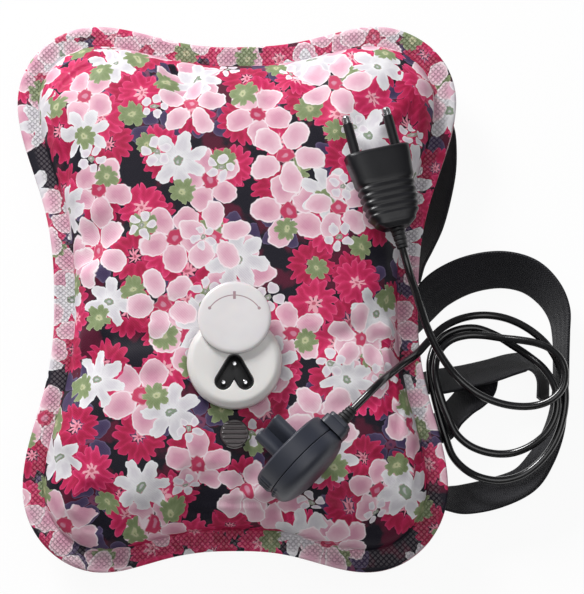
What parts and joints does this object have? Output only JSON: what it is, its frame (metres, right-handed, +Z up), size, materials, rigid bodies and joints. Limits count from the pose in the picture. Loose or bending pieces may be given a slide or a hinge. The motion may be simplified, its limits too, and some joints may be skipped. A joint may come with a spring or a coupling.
{
  "type": "electric hot water bottle",
  "caption": "Pillow-shaped printed hot water bottle with a welded seam, charging inlet under a swivel cap, filler plug, webbing waist belt, and a loose charging lead lying on it.",
  "frame": {"origin": "on the flat underside that the bag rests on, on its long axis and 3 mm below the middle of its length", "axes": "+Z up out of the printed face, +Y towards the bag's top edge, +X to the bag's right, where the belt and the cord lie"},
  "size_m": [0.2544, 0.254, 0.0837],
  "materials": {
    "printed_fabric": "coated, printed",
    "pouch_film": "translucent film",
    "ivory_plastic": "satin",
    "black_plastic": "satin",
    "slate_plastic": "satin",
    "smoke_plastic": "translucent",
    "white_plastic": "moulded",
    "webbing": "woven",
    "rubber_black": "matte",
    "cord_black": "gloss",
    "steel": "bright",
    "brass": "bright",
    "wire_red": "insulated"
  },
  "bodies": {
    "bag": {"front_panel": "printed_fabric", "back_panel": "printed_fabric", "water_pouch": "pouch_film", "inlet_base": "ivory_plastic", "socket_liner": "black_plastic", "clamp_nut": "white_plastic", "heater_mount": "white_plastic", "heater_cage": "white_plastic", "filler_port": "white_plastic", "thermal_fuse": "white_plastic", "belt_short_run": "webbing", "belt_outer_loop": "webbing", "belt_middle_run": "webbing", "belt_tail_run": "webbing", "seal_ring": "rubber_black", "cap_washer": "rubber_black", "belt_tab_top": "rubber_black", "belt_tab_waist": "rubber_black", "belt_tab_middle": "rubber_black", "belt_tab_tail": "rubber_black", "belt_tab_bottom": "rubber_black", "heating_element": "steel", "thermostat": "steel", "contact_pin_left": "steel", "contact_pin_right": "steel", "contact_pin_earth": "steel", "cap_pivot_pin": "steel", "live_wire": "wire_red", "neutral_wire": "wire_red", "earth_wire": "wire_red"},
    "cap": {"swivel_cap": "ivory_plastic"},
    "filler": {"filler_plug": "smoke_plastic"},
    "lead": {"connector_face": "slate_plastic", "connector_back": "slate_plastic", "connector_collar": "slate_plastic", "connector_relief": "rubber_black", "contact_sleeve_left": "brass", "contact_sleeve_right": "brass", "contact_sleeve_earth": "brass", "lead_cord": "cord_black", "mains_plug_body": "black_plastic", "plug_pin_left": "steel", "plug_pin_right": "steel", "pin_sleeve_left": "black_plastic", "pin_sleeve_right": "black_plastic", "plug_relief": "rubber_black"}
  },
  "joints": [
    {"name": "cap_swivel", "type": "hinge", "parent": "bag", "child": "cap", "pos_m": [0, -0.0263, 0.0546], "axis": [0, 0, 1], "range_deg": [0, 180]},
    {"name": "filler_plug_pull", "type": "slide", "parent": "bag", "child": "filler", "axis": [0, 0, 1], "range_m": [0, 0.012]},
    {"name": "lead_lift", "type": "slide", "parent": "bag", "child": "lead", "axis": [0, 0, 1], "range_m": [0, 0.05]}
  ]
}
